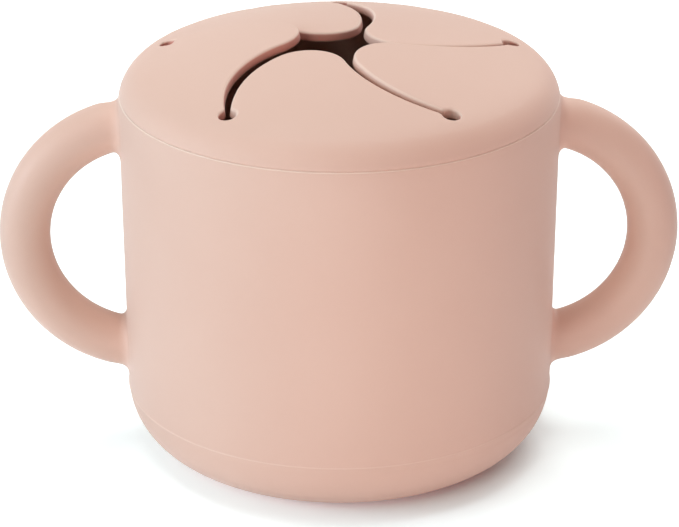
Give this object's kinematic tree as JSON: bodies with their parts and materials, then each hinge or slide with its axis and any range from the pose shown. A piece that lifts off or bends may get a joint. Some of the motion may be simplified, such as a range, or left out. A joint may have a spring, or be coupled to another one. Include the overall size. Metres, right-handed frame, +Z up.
{
  "type": "toddler snack container",
  "caption": "Soft round snack cup with two moulded handles and a push-in domed lid, whose curved flaps spring shut behind a reaching hand.",
  "frame": {"origin": "on the table, at the middle of the base", "axes": "+Z up out of the cup, X through the two handles, -Y towards the front of the picture"},
  "size_m": [0.1404, 0.09, 0.0886],
  "materials": {
    "cup_silicone": "soft matte moulded silicone, blush pink",
    "lid_silicone": "soft matte moulded silicone, blush pink"
  },
  "bodies": {
    "cup": {"cup": "cup_silicone", "left_handle": "cup_silicone", "right_handle": "cup_silicone"},
    "lid": {"lid_ring": "lid_silicone", "back_right_hinge": "lid_silicone", "back_left_hinge": "lid_silicone", "left_hinge": "lid_silicone", "front_hinge": "lid_silicone", "right_hinge": "lid_silicone"},
    "back_right_flap": {"back_right_flap": "lid_silicone"},
    "back_left_flap": {"back_left_flap": "lid_silicone"},
    "left_flap": {"left_flap": "lid_silicone"},
    "front_flap": {"front_flap": "lid_silicone"},
    "right_flap": {"right_flap": "lid_silicone"}
  },
  "joints": [
    {"name": "lid_lift", "type": "slide", "parent": "cup", "child": "lid", "axis": [0, 0, 1], "range_m": [0, 0.045]},
    {"name": "back_right_flap_bend", "type": "hinge", "parent": "lid", "child": "back_right_flap", "pos_m": [0.01822, 0.02374, 0.08273], "axis": [-0.7934, 0.6088, 0], "range_deg": [-70, 60], "stiffness_Nm_per_rad": 0.012, "deforming": ["back_right_hinge"]},
    {"name": "back_left_flap_bend", "type": "hinge", "parent": "lid", "child": "back_left_flap", "pos_m": [-0.01695, 0.02466, 0.08273], "axis": [-0.8241, -0.5664, 0], "range_deg": [-70, 60], "stiffness_Nm_per_rad": 0.012, "deforming": ["back_left_hinge"]},
    {"name": "left_flap_bend", "type": "hinge", "parent": "lid", "child": "left_flap", "pos_m": [-0.0287, -0.0085, 0.08273], "axis": [0.284, -0.9588, 0], "range_deg": [-70, 60], "stiffness_Nm_per_rad": 0.012, "deforming": ["left_hinge"]},
    {"name": "front_flap_bend", "type": "hinge", "parent": "lid", "child": "front_flap", "pos_m": [-0.00078, -0.02992, 0.08273], "axis": [0.9997, -0.0262, 0], "range_deg": [-70, 60], "stiffness_Nm_per_rad": 0.012, "deforming": ["front_hinge"]},
    {"name": "right_flap_bend", "type": "hinge", "parent": "lid", "child": "right_flap", "pos_m": [0.02821, -0.00999, 0.08273], "axis": [0.3338, 0.9426, 0], "range_deg": [-70, 60], "stiffness_Nm_per_rad": 0.012, "deforming": ["right_hinge"]}
  ]
}
